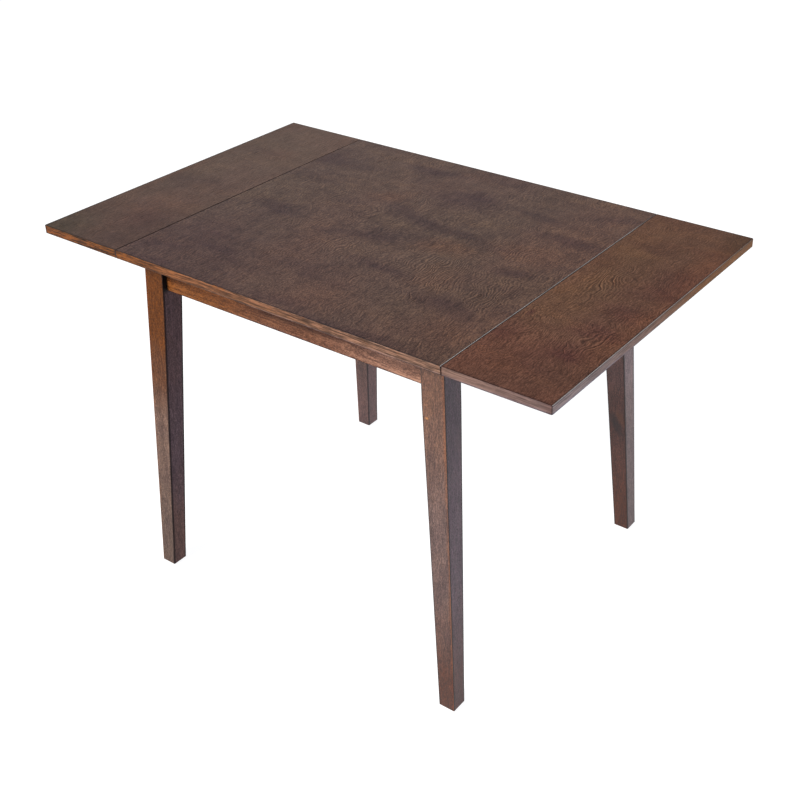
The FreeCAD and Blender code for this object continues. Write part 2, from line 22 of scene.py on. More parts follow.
# ------------------------------------------------------------------ camera
# pinhole at the photo's viewing angle; metres, pixels of an 800 x 800 frame
CAM = Vector((1.3797, -1.7190, 1.7362))
YAW, PITCH, ROLL = 0.62507, 0.50874, -0.00896
FOCAL_PX, U0, V0 = 1248.2, 452.76, 340.5
fwd = Vector((-math.sin(YAW) * math.cos(PITCH), math.cos(YAW) * math.cos(PITCH), -math.sin(PITCH)))
right = Vector((math.cos(YAW), math.sin(YAW), 0.0))
up = right.cross(fwd)
r2 = right * math.cos(ROLL) + up * math.sin(ROLL)
u2 = -right * math.sin(ROLL) + up * math.cos(ROLL)
cam_data = bpy.data.cameras.new("camera")
cam_data.sensor_fit = "HORIZONTAL"
cam_data.sensor_width = 36.0
cam_data.lens = FOCAL_PX / 800.0 * 36.0
cam_data.shift_x = (400.0 - U0) / 800.0
cam_data.shift_y = (V0 - 400.0) / 800.0
cam_data.clip_start, cam_data.clip_end = 0.05, 60.0
cam = bpy.data.objects.new("camera", cam_data)
scene.collection.objects.link(cam)
m = Matrix((r2, u2, -fwd)).transposed().to_4x4()
m.translation = CAM
cam.matrix_world = m
scene.camera = cam


# ------------------------------------------------------------- node helpers
def lin(r, g, b):
    """sRGB 0-255 to linear."""
    return tuple((c / 255 / 12.92) if c / 255 <= 0.04045 else ((c / 255 + 0.055) / 1.055) ** 2.4 for c in (r, g, b))


def is_socket(v):
    return isinstance(v, bpy.types.NodeSocket)


class Tree:
    """Short-hand for building one material's nodes."""

    def __init__(self, name):
        self.mat = bpy.data.materials.new(name)
        self.mat.use_nodes = True
        self.nt = self.mat.node_tree
        self.nt.nodes.clear()
        self.out = self.nt.nodes.new("ShaderNodeOutputMaterial")
        self.bsdf = self.nt.nodes.new("ShaderNodeBsdfPrincipled")
        self.nt.links.new(self.bsdf.outputs[0], self.out.inputs[0])
        tc = self.nt.nodes.new("ShaderNodeTexCoord")
        self.coord, self.nrm = tc.outputs["Object"], tc.outputs["Normal"]
        self.x, self.y, self.z = self.xyz(self.coord)
        self.nx, self.ny, self.nz = self.xyz(self.nrm)

    def put(self, socket, value):
        if is_socket(value):
            self.nt.links.new(value, socket)
        elif value is not None:
            socket.default_value = value

    def math(self, op, a, b=None, c=None, clamp=False):
        n = self.nt.nodes.new("ShaderNodeMath")
        n.operation, n.use_clamp = op, clamp
        for s, v in zip(n.inputs, (a, b, c)):
            self.put(s, v)
        return n.outputs[0]

    def add(self, *v, clamp=False):
        s = v[0]
        for k, w in enumerate(v[1:]):
            s = self.math("ADD", s, w, clamp=clamp and k == len(v) - 2)
        return s

    def mul(self, a, b, clamp=False):
        return self.math("MULTIPLY", a, b, clamp=clamp)

    def centred(self, v, gain):
        """(v - 0.5) * gain"""
        return self.math("MULTIPLY_ADD", v, gain, -0.5 * gain)

    def vmath(self, op, a, b=None):
        n = self.nt.nodes.new("ShaderNodeVectorMath")
        n.operation = op
        self.put(n.inputs[0], a)
        self.put(n.inputs[3] if op == "SCALE" else n.inputs[1], b)
        return n.outputs["Value"] if op in ("LENGTH", "DOT_PRODUCT", "DISTANCE") else n.outputs[0]

    def mapping(self, vec, loc=(0, 0, 0), rot=(0, 0, 0), scale=(1, 1, 1), kind="POINT"):
        n = self.nt.nodes.new("ShaderNodeMapping")
        n.vector_type = kind
        self.put(n.inputs[0], vec)
        n.inputs[1].default_value, n.inputs[2].default_value, n.inputs[3].default_value = loc, rot, scale
        return n.outputs[0]

    def noise(self, vec, scale=1.0, detail=2.0, rough=0.5, distort=0.0, colour=False):
        n = self.nt.nodes.new("ShaderNodeTexNoise")
        self.put(n.inputs["Vector"], vec)
        n.inputs["Scale"].default_value = scale
        n.inputs["Detail"].default_value = detail
        n.inputs["Roughness"].default_value = rough
        n.inputs["Distortion"].default_value = distort
        return n.outputs["Color" if colour else "Fac"]

    def ramp(self, fac, stops, interp="LINEAR"):
        n = self.nt.nodes.new("ShaderNodeValToRGB")
        n.color_ramp.interpolation = interp
        el = n.color_ramp.elements
        while len(el) < len(stops):
            el.new(0.5)
        for e, (p, c) in zip(el, stops):
            e.position = p
            e.color = (c, c, c, 1) if isinstance(c, (int, float)) else (*c, 1)
        self.put(n.inputs[0], fac)
        return n.outputs[0]

    def span(self, v, a, b, lo=0.0, hi=1.0, smooth=True):
        n = self.nt.nodes.new("ShaderNodeMapRange")
        n.interpolation_type = "SMOOTHSTEP" if smooth else "LINEAR"
        n.clamp = True
        for s, x in zip(n.inputs, (v, a, b, lo, hi)):
            self.put(s, x)
        return n.outputs[0]

    def mix(self, fac, a, b, mode="MIX"):
        n = self.nt.nodes.new("ShaderNodeMix")
        n.data_type, n.blend_type = "RGBA", mode
        n.clamp_factor = True
        self.put(n.inputs[0], fac)
        self.put(n.inputs[6], a if is_socket(a) else (*a, 1))
        self.put(n.inputs[7], b if is_socket(b) else (*b, 1))
        return n.outputs[2]

    def xyz(self, vec):
        n = self.nt.nodes.new("ShaderNodeSeparateXYZ")
        self.put(n.inputs[0], vec)
        return n.outputs[0], n.outputs[1], n.outputs[2]

    def warp(self, base, vec, scale, amount, detail=1.0, weight=None):
        """base shifted by a vector noise read at vec."""
        w = self.vmath("SUBTRACT", self.noise(vec, scale, detail, 0.5, colour=True), (0.5, 0.5, 0.5))
        w = self.vmath("SCALE", w, self.mul(weight, amount) if weight is not None else amount)
        return self.vmath("ADD", base, w)

    def blob(self, vec, x, y, a, b, turn=0.0, z=None, c=1.0, soft=(0.05, 1.50)):
        """1 in the middle of an ellipse lying in XY (half axes a, b), 0 outside."""
        v = self.mapping(vec, (x, y, z or 0.0), (0, 0, math.radians(turn)), (a, b, c if z is not None else 1e3), "TEXTURE")
        return self.span(self.vmath("LENGTH", v), soft[0], soft[1], 1.0, 0.0)

    def blobs(self, vec, spots):
        total = None
        for s in spots:
            strength, args = s[0], s[1:]
            v = self.mul(self.blob(vec, *args), strength)
            total = v if total is None else self.math("MAXIMUM", total, v)
        return total

    def bump(self, height, strength, distance):
        n = self.nt.nodes.new("ShaderNodeBump")
        n.inputs["Strength"].default_value = strength
        n.inputs["Distance"].default_value = distance
        self.put(n.inputs["Height"], height)
        self.put(self.bsdf.inputs["Normal"], n.outputs[0])
        return n.outputs[0]


AXES = {"X": 0, "Y": 1, "Z": 2}


def stretch(t, vec, axis, across, along):
    s = [across] * 3
    s[AXES[axis]] = along
    return t.mapping(vec, scale=tuple(s))


def satin(t, rough_var, rough, spec, coat=0.0):
    t.put(t.bsdf.inputs["Roughness"], t.math("ADD", rough_var, rough, clamp=True))
    t.bsdf.inputs["Specular IOR Level"].default_value = spec
    if coat:
        t.bsdf.inputs["Coat Weight"].default_value = coat
        t.bsdf.inputs["Coat Roughness"].default_value = 0.35


# ------------------------------------------------------------ table-top boards
TOP_Z, BOARD_Z = 0.750, 0.733


def board_wood(name, seed, x0, x1, tones, clouds, warm, rings, figured, edge, cloud_tint=(0.60, 0.57, 0.70), cloud_mix=1.0,
               warm_tint=(1.22, 1.04, 0.92), back_cloud=0.42, contrast=1.0, curl=1.0, drift=None, arris_highlight=0.0, seams=(0, 0), spec=0.10, edge_contrast=1.0, edge_dim=0.0):
    """Stained veneer board with its grain along Y, lippings on its edges and a toned lower face.

    tones: dark, middle, light. clouds, warm and rings: soft spots (strength, x, y, a, b, turn) where the stain is
    darker, where it is warmer and where the growth lines show; figured: where fine curling lines are strongest. edge:
    tone at the low and at the high end of X, then
    tints for the end face. edge_dim: darker stain in the upper half of the edge. arris_highlight: painted highlight
    along the upper edge at x1. seams: 1 where the board meets its neighbour."""
    t = Tree(name)
    p = t.mapping(t.coord, loc=seed)
    flat = t.mapping(t.coord, scale=(1, 1, 0.0))
    # the fibres run along Y and curl in places
    region = t.span(t.noise(p, 7.0, 2.0, 0.5), 0.40, 0.66)
    v = t.warp(p, p, 3.5, 0.070 * curl)
    v = t.warp(v, p, 14.0, 0.024 * curl, weight=t.math("MULTIPLY_ADD", region, 0.8, 0.2))
    v = t.warp(v, p, 42.0, 0.0034 * curl)
    band = t.noise(stretch(t, v, "Y", 24.0, 1.6), 1.0, 2.0, 0.6)
    grain = t.noise(stretch(t, v, "Y", 280.0, 15.0), 1.0, 3.0, 0.65)
    fine = t.noise(stretch(t, v, "Y", 600.0, 42.0), 1.0, 2.0, 0.6)
    hair = t.noise(stretch(t, v, "Y", 1150.0, 16.0), 1.0, 2.0, 0.6)
    speck = t.noise(stretch(t, v, "Y", 480.0, 230.0), 1.0, 1.0, 0.6)
    mottle = t.noise(t.mapping(t.warp(p, p, 30.0, 0.012), scale=(46, 38, 46)), 1.0, 3.0, 0.6)
    pore = t.span(t.noise(stretch(t, v, "Y", 950.0, 34.0), 1.0, 0.0, 0.5), 0.62, 0.76)
    # growth lines, only where the veneer shows them
    vx, vy, vz = t.xyz(t.warp(t.warp(t.warp(p, p, 6.0, 0.080), p, 24.0, 0.034), p, 80.0, 0.0040))
    phase = t.math("FRACT", t.mul(vx, 1 / 0.0098))
    broken = t.span(t.noise(stretch(t, p, "Y", 70.0, 26.0), 1.0, 2.0, 0.6), 0.38, 0.54)
    ringmask = t.math("MAXIMUM", t.mul(t.blobs(t.warp(flat, p, 12.0, 0.04), rings), 1.7, clamp=True), t.math("MULTIPLY_ADD", region, 0.34, 0.20))
    ringmask = t.mul(ringmask, broken)
    ring = t.mul(t.span(t.math("ABSOLUTE", t.math("SUBTRACT", phase, 0.50)), 0.03, 0.13, 1.0, 0.0), ringmask)
    lip = t.mul(t.span(t.math("ABSOLUTE", t.math("SUBTRACT", phase, 0.72)), 0.04, 0.16, 1.0, 0.0), ringmask)
    # finer lines between them, curling like a fingerprint
    curls = t.math("SINE", t.mul(vx, 2 * math.pi / 0.0060))
    curls = t.mul(curls, t.math("MAXIMUM", t.mul(t.blobs(t.warp(flat, p, 9.0, 0.05), figured), 1.2), t.span(t.noise(p, 13.0, 2.0, 0.5), 0.44, 0.64, 0.08, 0.56)))
    # tone, quieter towards the back
    calm = t.span(t.y, -0.02, 0.30, 1.0, 0.62)
    gw = t.math("MULTIPLY_ADD", region, 0.9 * contrast, 0.35 * contrast)
    tone = t.add(t.mul(t.centred(grain, 0.40), gw), t.centred(fine, 0.60 * contrast), t.centred(hair, 1.8 * contrast),
                 t.centred(speck, 1.15 * contrast), t.mul(t.mul(curls, t.span(t.y, -0.30, -0.16, 0.62, 1.0)), 0.27 * contrast))
    tone = t.add(t.mul(tone, calm), t.centred(mottle, 0.55 * contrast), t.centred(band, 0.2 * contrast), 0.5, clamp=True)
    col = t.ramp(tone, [(0.12, tones[0]), (0.50, tones[1]), (0.88, tones[2])])
    # wide drifts between olive and red brown
    big = t.noise(t.mapping(p, scale=(3.2, 2.4, 3.0)), 1.0, 2.0, 0.5, distort=0.3)
    col = t.mix(t.mul(t.span(big, 0.32, 0.62, 1.0, 0.0), 0.7), col, (0.95, 1.01, 0.95), "MULTIPLY")
    col = t.mix(t.mul(t.span(big, 0.45, 0.75), 0.7), col, (1.07, 0.98, 0.95), "MULTIPLY")
    if drift:
        for fac, tint in drift(t, flat, p):
            col = t.mix(fac, col, tint, "MULTIPLY")
    soft = t.warp(flat, p, 9.0, 0.055, 2.0)
    soft = t.warp(soft, p, 34.0, 0.020, 1.0)
    clouds = [(c[0], c[1], c[2], c[3] * 1.12, c[4] * 1.35, c[5]) for c in clouds]
    # clouds lie across the grain
    streak = t.noise(t.mapping(v, scale=(10, 46, 10)), 1.0, 2.0, 0.55)
    bc = t.span(t.noise(t.mapping(t.warp(p, p, 6.0, 0.05), scale=(6.0, 15.0, 6.0)), 1.0, 2.5, 0.55), 0.48, 0.70)
    cl = t.add(t.mul(t.blobs(soft, clouds), t.math("MULTIPLY_ADD", streak, 1.0, 0.38)), t.mul(bc, back_cloud), clamp=True)
    col = t.mix(t.mul(cl, cloud_mix), col, cloud_tint, "MULTIPLY")
    if warm:
        wm = t.mul(t.blobs(soft, warm), t.math("MULTIPLY_ADD", fine, 0.8, 0.6), clamp=True)
        col = t.mix(wm, col, warm_tint, "MULTIPLY")
    light = t.span(t.noise(t.mapping(v, scale=(8, 21, 8)), 1.0, 2.0, 0.5), 0.48, 0.72)
    col = t.mix(t.mul(light, 0.45), col, (1.27, 1.23, 1.10), "MULTIPLY")
    col = t.mix(lip, col, (1.32, 1.26, 1.18), "MULTIPLY")
    col = t.mix(ring, col, (0.43, 0.40, 0.43), "MULTIPLY")
    col = t.mix(t.mul(pore, 0.36), col, (0.40, 0.38, 0.40), "MULTIPLY")
    # lippings: long strata along each edge, a thin dark glue line under the veneer
    d0, d1 = t.math("SUBTRACT", t.x, x0), t.math("SUBTRACT", x1, t.x)
    d_end = t.math("MINIMUM", d0, d1)
    d_long = t.math("MINIMUM", t.math("ADD", t.y, 0.363), t.math("SUBTRACT", 0.363, t.y))
    d = t.math("MINIMUM", t.math("MINIMUM", t.mul(d0, 1.9) if seams[0] else d0, t.mul(d1, 1.9) if seams[1] else d1), d_long)
    side = t.span(t.math("ABSOLUTE", t.nz), 0.35, 0.75, 1.0, 0.0)
    lay = t.noise(t.mapping(t.warp(t.coord, t.coord, 14.0, 0.0022), loc=seed, scale=(9, 9, 260)), 1.0, 3.0, 0.7)
    lay2 = t.noise(t.mapping(t.coord, loc=seed, scale=(42, 42, 430)), 1.0, 2.0, 0.6)
    blot = t.noise(t.mapping(t.coord, loc=seed, scale=(21, 21, 520)), 1.0, 2.0, 0.6)
    fleck = t.span(t.noise(t.mapping(t.coord, loc=seed, scale=(110, 110, 700)), 1.0, 1.0, 0.5), 0.54, 0.70)
    along = t.span(t.x, x0, x1, smooth=False)
    ec = t.mix(along, edge[0], edge[1])
    tone_e = t.add(t.centred(lay, 2.2), t.centred(lay2, 2.2), t.centred(blot, 2.2), 0.5, clamp=True)
    ec = t.mix(1.0, ec, t.ramp(tone_e, [(0.05, 1 - 0.62 * edge_contrast), (0.5, 1 - 0.10 * edge_contrast), (0.95, 1 + 0.75 * edge_contrast)]), "MULTIPLY")
    ec = t.mix(t.mul(fleck, 0.55 * edge_contrast), ec, (0.45, 0.40, 0.38), "MULTIPLY")
    if edge_dim:
        ec = t.mix(t.mul(t.span(t.z, TOP_Z - 0.0085, TOP_Z - 0.0045), edge_dim), ec, (0.55, 0.62, 0.64), "MULTIPLY")
    # the end face: quieter strata, grey at the front turning orange-tan towards the back; the grey at the front is
    # partly stain colour, partly painted sheen
    if len(edge) > 2:
        ey = t.span(t.y, -0.363, 0.20)
        end_face = t.span(t.math("ABSOLUTE", t.nx), 0.5, 0.8)
        quiet = t.mix(1.0, t.mix(ey, edge[2], edge[3]), t.ramp(tone_e, [(0.05, 0.72), (0.5, 0.98), (0.95, 1.30)]), "MULTIPLY")
        ec = t.mix(end_face, ec, quiet)
        under = t.mul(t.span(t.math("ABSOLUTE", t.math("SUBTRACT", t.z, TOP_Z - 0.0021)), 0.0005, 0.0011, 1.0, 0.0), end_face)
        ec = t.mix(t.mul(under, 0.75), ec, (0.25, 0.24, 0.26), "MULTIPLY")
        # darker towards the corner, with a dark line down the arris
        front = t.math("SUBTRACT", 1.0, end_face)
        ec = t.mix(t.mul(t.mul(t.span(d1, 0.024, 0.004), front), 0.7), ec, (0.74, 0.66, 0.64), "MULTIPLY")
        corner = t.math("MAXIMUM", d1, d_long)
        ec = t.mix(t.mul(t.span(corner, 0.0022, 0.0010), 0.8), ec, (0.22, 0.20, 0.22), "MULTIPLY")
        ec = t.mix(t.mul(t.span(t.z, TOP_Z - 0.0030, TOP_Z - 0.0016), front), ec, (0.87, 0.83, 0.82), "MULTIPLY")
    elif not seams[0]:
        ec = t.mix(t.mul(t.span(t.math("MAXIMUM", d0, d_long), 0.0080, 0.0035), 0.8), ec, (0.28, 0.27, 0.32), "MULTIPLY")
        ec = t.mix(t.mul(t.span(t.z, BOARD_Z + 0.0036, BOARD_Z + 0.0020), 0.55), ec, (0.45, 0.42, 0.42), "MULTIPLY")
    else:
        low = t.mul(t.span(t.z, TOP_Z - 0.0070, TOP_Z - 0.0100), t.span(t.x, 0.07, 0.17))
        ec = t.mix(low, ec, (1.09, 1.10, 1.10), "MULTIPLY")
        ec = t.mix(t.mul(t.span(t.z, TOP_Z - 0.0080, TOP_Z - 0.0105), t.mul(t.span(t.x, -0.16, -0.06), t.span(t.x, 0.14, 0.06))), ec, (0.87, 0.88, 0.84), "MULTIPLY")
        # the band of the painted shadow line along the lower edge, here warmer to the left and greyer and bluer in the
        # middle
        band_z = t.span(t.z, BOARD_Z + 0.0040, BOARD_Z + 0.0024)
        ec = t.mix(t.mul(band_z, t.span(t.x, -0.05, -0.25)), ec, (1.0, 0.95, 0.84), "MULTIPLY")
        ec = t.mix(t.mul(band_z, t.mul(t.span(t.x, -0.22, -0.08), t.span(t.x, 0.20, 0.10))), ec, (0.98, 1.06, 1.22), "MULTIPLY")
    # painted highlight: the top 1-2 mm of every edge paler and bluer
    ec = t.mix(t.span(t.z, TOP_Z - 0.0022, TOP_Z - 0.0010), ec, (1.12, 1.22, 1.30), "MULTIPLY")
    glue = t.span(t.math("ABSOLUTE", t.math("SUBTRACT", t.z, TOP_Z - 0.0062)), 0.0004, 0.0012, 1.0, 0.0)
    ec = t.mix(t.mul(glue, 0.45), ec, (0.50, 0.46, 0.44), "MULTIPLY")
    # painted shadow line along the lower edge: the lowest 2-4 mm greyer and bluer, the lowest 1-2 mm near-black
    ec = t.mix(t.mul(t.span(t.z, BOARD_Z + 0.0040, BOARD_Z + 0.0024), 0.8), ec, (0.98, 1.08, 1.35), "MULTIPLY")
    foot = t.span(t.z, BOARD_Z + 0.0017, BOARD_Z + 0.0008)
    ec = t.mix(t.mul(foot, 0.9), ec, (0.20, 0.19, 0.22), "MULTIPLY")
    col = t.mix(side, col, ec)
    # a thin dark rim along the top's edges, darker towards the front; dark stain and painted shade in the seams
    rim = t.mul(t.span(d, 0.0010, 0.0048, 1.0, 0.0), t.span(t.z, TOP_Z - 0.0009, TOP_Z - 0.0003))
    col = t.mix(t.mul(rim, t.span(t.math("MINIMUM", t.math("SUBTRACT", 0.363, t.y), 0.4), 0.05, 0.32, 0.35, 0.8)), col, (0.30, 0.30, 0.36), "MULTIPLY")
    for k, dd in ((0, d0), (1, d1)):
        if seams[k]:
            inside = t.span(dd, 0.0010, 0.0017, 1.0, 0.0)
            col = t.mix(t.mul(inside, t.span(t.z, TOP_Z - 0.0009, TOP_Z - 0.0016)), col,
                        t.ramp(tone_e, [(0.05, lin(34, 24, 21)), (0.5, lin(52, 36, 30)), (0.95, lin(70, 49, 40))]))
            # painted shade in the seam gap: near-black from about 1 mm to 3 mm below the top, on the seam face and the
            # faces next to it
            col = t.mix(t.mul(t.mul(inside, t.span(t.z, TOP_Z - 0.0004, TOP_Z - 0.0009)), t.span(t.z, TOP_Z - 0.0034, TOP_Z - 0.0020)), col, (0.006, 0.007, 0.009))
    # rubbed here and there along the edges
    worn = t.mul(t.span(d_long, 0.0002, 0.0012, 1.0, 0.0), t.span(t.noise(p, 42.0, 3.0, 0.6), 0.56, 0.70))
    worn = t.mul(worn, t.mul(t.span(t.z, BOARD_Z + 0.001, TOP_Z - 0.0022), t.span(d_end, 0.003, 0.008)))
    col = t.mix(t.mul(worn, 0.4), col, t.mix(1.0, edge[0], (1.9, 1.9, 1.9), "MULTIPLY"))
    # painted highlight: a pale grey line along the upper arris at x1, broken by noise and fading towards the back
    if arris_highlight:
        pr = t.mul(t.span(d1, 0.0009, 0.0013, 1.0, 0.0), t.span(t.z, TOP_Z - 0.0009, TOP_Z - 0.0006))
        pr = t.mul(pr, t.span(t.noise(stretch(t, p, "Y", 30.0, 5.0), 1.0, 3.0, 0.6), 0.30, 0.55, 0.50, 1.0))
        pr = t.mul(pr, t.span(t.y, 0.34, 0.24, 0.25, 1.0) if seams[1] else t.span(t.y, 0.34, 0.04, 0.40, 1.0))
        col = t.mix(t.mul(pr, arris_highlight), col, lin(166, 162, 160))
    # lower face: thinner stain
    lower = t.span(t.nz, -0.9, -0.5, 1.0, 0.0)
    col = t.mix(t.mul(lower, 0.75), col, t.ramp(tone, [(0.1, lin(74, 52, 40)), (0.5, lin(98, 72, 55)), (0.9, lin(122, 94, 72))]))
    t.put(t.bsdf.inputs["Base Color"], col)
    rv = t.add(t.centred(grain, 0.16), t.centred(t.noise(p, 18.0, 2.0, 0.5), 0.12), t.mul(pore, 0.12))
    satin(t, rv, 0.43, spec)
    h = t.add(t.mul(t.mul(grain, gw), 0.9), t.mul(fine, 0.4), t.mul(hair, 0.15), t.mul(speck, 0.4))
    h = t.math("SUBTRACT", h, t.add(t.mul(ring, 0.35), t.mul(pore, 0.5)))
    h = t.add(t.mul(h, t.math("SUBTRACT", 1.0, side)), t.mul(t.mul(lay2, 0.8), side))
    t.bump(h, 0.35, 0.0006)
    return t.mat


TOP_TONES = (lin(54, 41, 39), lin(79, 61, 55), lin(105, 83, 72))
TOP_CLOUDS = [
    (0.75, -0.318, 0.228, 0.082, 0.022, 0), (0.85, -0.112, 0.300, 0.095, 0.017, 9), (0.60, 0.045, 0.212, 0.095, 0.032, -4),
    (0.75, 0.195, 0.216, 0.090, 0.017, -6), (0.75, 0.330, 0.290, 0.060, 0.014, 22), (0.80, -0.055, 0.098, 0.042, 0.022, -14),
    (0.95, 0.035, 0.066, 0.100, 0.019, -4), (0.95, -0.258, -0.038, 0.075, 0.024, -8), (1.00, -0.015, -0.036, 0.066, 0.022, 0),
    (0.80, 0.288, -0.017, 0.050, 0.014, 8), (0.85, 0.075, -0.138, 0.066, 0.015, 4), (1.00, 0.255, -0.198, 0.078, 0.022, -6),
    (0.65, 0.318, 0.140, 0.070, 0.018, 0), (0.80, -0.260, -0.250, 0.170, 0.110, 0), (0.45, -0.060, -0.215, 0.110, 0.032, 20),
    (0.85, -0.215, -0.350, 0.170, 0.016, 0), (0.60, 0.210, -0.356, 0.110, 0.012, 0), (0.50, 0.360, -0.160, 0.030, 0.022, 0),
]
TOP_WARM = [(0.9, 0.125, -0.005, 0.070, 0.034, 20), (0.3, 0.330, -0.270, 0.070, 0.050, 0), (0.5, 0.180, -0.110, 0.060, 0.060, 0),
            (0.5, -0.110, 0.140, 0.050, 0.030, 30), (0.4, 0.060, -0.290, 0.060, 0.060, 0), (0.35, 0.250, 0.060, 0.080, 0.035, 0)]
TOP_RINGS = [(1.0, 0.172, -0.100, 0.030, 0.075, 0), (1.0, 0.215, -0.130, 0.022, 0.050, 0), (0.8, 0.292, -0.145, 0.028, 0.050, 0),
             (0.8, -0.095, -0.130, 0.022, 0.060, -10), (0.6, 0.200, -0.205, 0.060, 0.022, 0), (0.6, 0.240, 0.045, 0.040, 0.045, 0),
             (0.5, -0.140, -0.060, 0.050, 0.030, 0), (0.5, 0.340, 0.060, 0.020, 0.060, 0)]

TOP_FIGURED = [(1.0, 0.17, -0.08, 0.10, 0.10, 0), (0.9, 0.31, -0.12, 0.05, 0.09, 0), (0.8, -0.05, -0.10, 0.06, 0.05, 0), (0.7, 0.24, 0.06, 0.07, 0.06, 0)]


def top_drift(t, flat, p):
    x, y, z = t.xyz(t.warp(flat, p, 5.0, 0.10, 2.0))
    return [(t.span(x, -0.10, -0.42), (0.95, 0.98, 1.00)), (t.span(x, 0.12, 0.36), (1.05, 0.98, 0.91)),
            (t.span(y, -0.08, -0.36), (0.90, 0.89, 0.89)), (t.span(y, -0.05, 0.34), (1.19, 1.17, 1.17))]


def assign(node, mat):
    o = N[node]
    if not o.data.materials:
        o.data.materials.append(mat)
    for k in range(len(o.data.materials)):
        o.data.materials[k] = mat


assign("centre_top", board_wood("wood_top_centre", (0.31, 0.17, 0.0), -0.377, 0.377, TOP_TONES, TOP_CLOUDS, TOP_WARM, TOP_RINGS, TOP_FIGURED,
                                (lin(88, 48, 13), lin(100, 75, 62)), drift=top_drift, arris_highlight=0.8, seams=(1, 1)))


def left_drift(t, flat, p):
    x, y, z = t.xyz(t.warp(flat, p, 6.0, 0.07, 2.0))
    return [(t.mul(t.span(x, -0.520, -0.572), t.span(y, -0.10, 0.05)), (0.87, 0.84, 0.84)), (t.span(y, -0.05, 0.34), (1.16, 1.18, 1.14)), (t.span(y, 0.08, -0.32), (0.72, 0.70, 0.68)), (t.blob(t.warp(flat, p, 7.0, 0.06), -0.46, -0.17, 0.09, 0.12), (1.10, 0.98, 1.0)),
            (t.blob(t.warp(flat, p, 7.0, 0.06), -0.585, -0.372, 0.10, 0.10), (0.72, 0.86, 0.78))]


assign("leaf_left", board_wood("wood_leaf_left", (1.37, 0.71, 0.2), -0.5823, -0.3778,
                               (lin(60, 46, 41), lin(82, 64, 57), lin(105, 83, 74)),
                               [(0.5, -0.49, -0.03, 0.07, 0.03, 0), (0.5, -0.42, -0.25, 0.05, 0.05, 0), (0.4, -0.50, 0.18, 0.07, 0.02, 5),
                                (0.6, -0.44, -0.335, 0.07, 0.02, 0)], [(0.5, -0.575, -0.05, 0.02, 0.12, 0), (0.4, -0.46, 0.19, 0.05, 0.03, 0)],
                               [(0.6, -0.52, 0.17, 0.02, 0.06, 0), (0.4, -0.55, -0.22, 0.02, 0.05, 0)], [(0.5, -0.50, 0.10, 0.05, 0.08, 0)],
                               (lin(83, 43, 12), lin(85, 47, 15)), back_cloud=0.15, contrast=0.7, curl=0.7, drift=left_drift, seams=(0, 1), edge_contrast=1.4, edge_dim=0.6))


def right_drift(t, flat, p):
    x, y, z = t.xyz(t.warp(flat, p, 6.0, 0.07, 2.0))
    return [(t.blob(t.warp(flat, p, 7.0, 0.06), 0.42, 0.02, 0.075, 0.26), (1.07, 1.15, 1.04)),
            (t.span(y, -0.10, -0.34), (0.94, 0.84, 0.84)), (t.span(y, 0.05, 0.34), (1.07, 1.06, 1.01)), (t.mul(t.span(x, 0.52, 0.575), t.span(y, -0.30, -0.15)), (1.14, 1.02, 0.94)),
            (t.blob(t.warp(flat, p, 7.0, 0.06), 0.51, -0.31, 0.085, 0.07), (0.87, 0.94, 0.96)),
            (t.blob(t.warp(flat, p, 7.0, 0.06), 0.585, 0.34, 0.05, 0.12), (0.66, 0.74, 0.72))]


assign("leaf_right", board_wood("wood_leaf_right", (2.13, 1.91, 0.4), 0.3778, 0.5823,
                                (lin(63, 42, 35), lin(87, 60, 49), lin(112, 79, 65)),
                                [(0.6, 0.53, -0.045, 0.040, 0.030, 0), (0.6, 0.525, -0.125, 0.040, 0.022, 0), (0.5, 0.545, 0.10, 0.030, 0.05, 0),
                                 (0.45, 0.40, -0.20, 0.030, 0.03, 0), (0.6, 0.53, -0.21, 0.028, 0.03, 0), (0.9, 0.397, -0.134, 0.008, 0.010, 0)],
                                [(0.3, 0.405, 0.05, 0.04, 0.18, 0), (0.25, 0.46, -0.30, 0.05, 0.04, 0)],
                                [(0.9, 0.440, 0.050, 0.030, 0.060, 0), (0.8, 0.540, -0.150, 0.030, 0.050, 0), (0.6, 0.530, -0.210, 0.030, 0.040, 0),
                                 (1.0, 0.397, -0.134, 0.012, 0.016, 0), (0.5, 0.450, -0.06, 0.03, 0.04, 0)],
                                [(0.9, 0.45, 0.04, 0.05, 0.09, 0), (0.9, 0.53, -0.16, 0.04, 0.07, 0), (0.6, 0.44, -0.22, 0.04, 0.06, 0)],
                                (lin(99, 77, 68), lin(96, 78, 75), lin(132, 117, 117), lin(113, 72, 36)),
                                cloud_tint=(0.62, 0.50, 0.66), back_cloud=0.30, contrast=0.9, curl=1.1, drift=right_drift, arris_highlight=0.66, seams=(1, 0), spec=0.05, edge_contrast=0.5))


